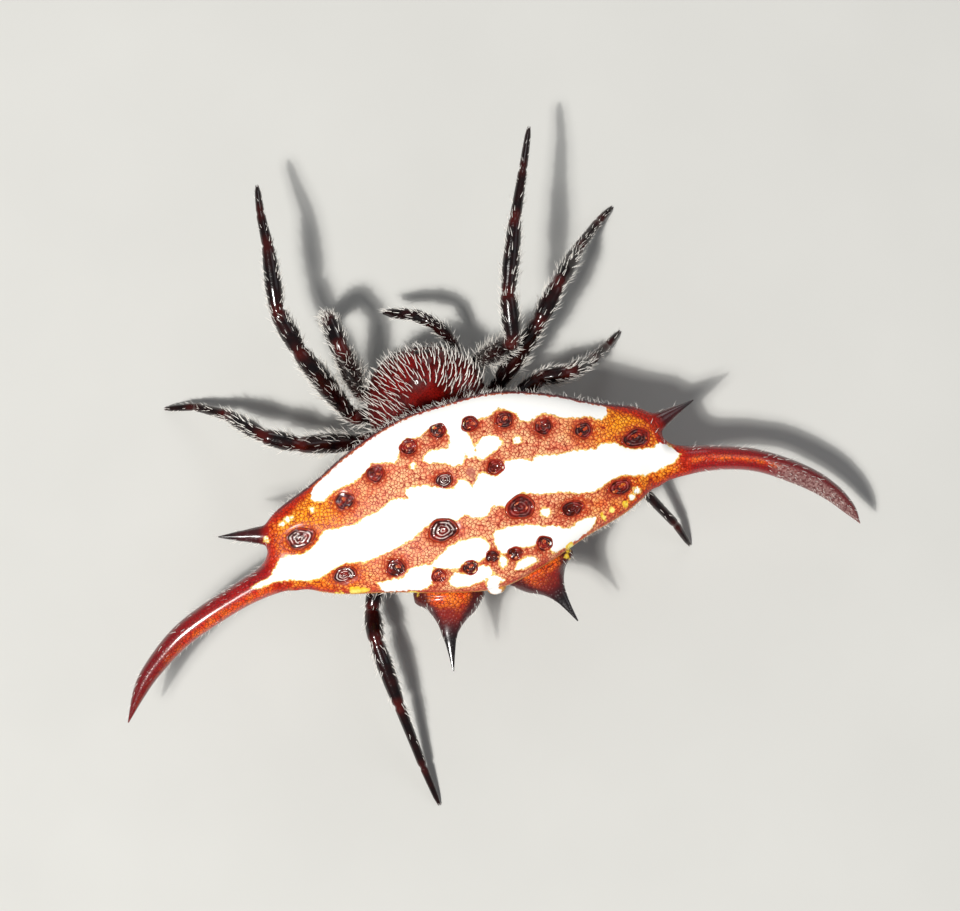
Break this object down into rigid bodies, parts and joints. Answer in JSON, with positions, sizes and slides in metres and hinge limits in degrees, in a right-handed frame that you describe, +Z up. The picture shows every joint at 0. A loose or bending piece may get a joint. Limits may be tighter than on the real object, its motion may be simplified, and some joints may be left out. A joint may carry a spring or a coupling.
{
  "type": "spiny orb weaver",
  "caption": "Female spiny orb weaver spider with a long-horned, spotted shield, standing with forelegs raised; a still life-size model.",
  "frame": {"origin": "on the ground, under the middle of the model's outline seen from above", "axes": "+Z up, +X to the spider's left, across the two horns, -Y the way it faces"},
  "size_m": [0.0237, 0.0201, 0.0053],
  "materials": {
    "shield": "glossy hard cuticle, white bands on an orange-red ground",
    "horn": "glossy crimson cuticle",
    "spine": "glossy maroon-black cuticle",
    "rear_spine": "grained orange-red cuticle with black tips",
    "carapace": "glossy dark red-brown cuticle under white hairs",
    "jaw": "glossy dark red-brown cuticle",
    "limb": "glossy red-black cuticle",
    "underside": "dull dark brown cuticle",
    "hair": "fine white hairs",
    "eye": "polished black"
  },
  "bodies": {
    "root": {"abdomen": "shield", "horn_left": "horn", "horn_right": "horn", "front_spine_left": "spine", "front_spine_right": "spine", "rear_spine_left": "rear_spine", "rear_spine_right": "rear_spine", "carapace": "carapace", "sternum": "underside", "pedicel": "underside", "spinnerets": "underside", "chelicera_left": "jaw", "chelicera_right": "jaw", "palp_left": "limb", "palp_right": "limb", "leg_left_1": "limb", "leg_left_2": "limb", "leg_left_3": "limb", "leg_left_4": "limb", "leg_right_1": "limb", "leg_right_2": "limb", "leg_right_3": "limb", "leg_right_4": "limb"}
  },
  "joints": []
}
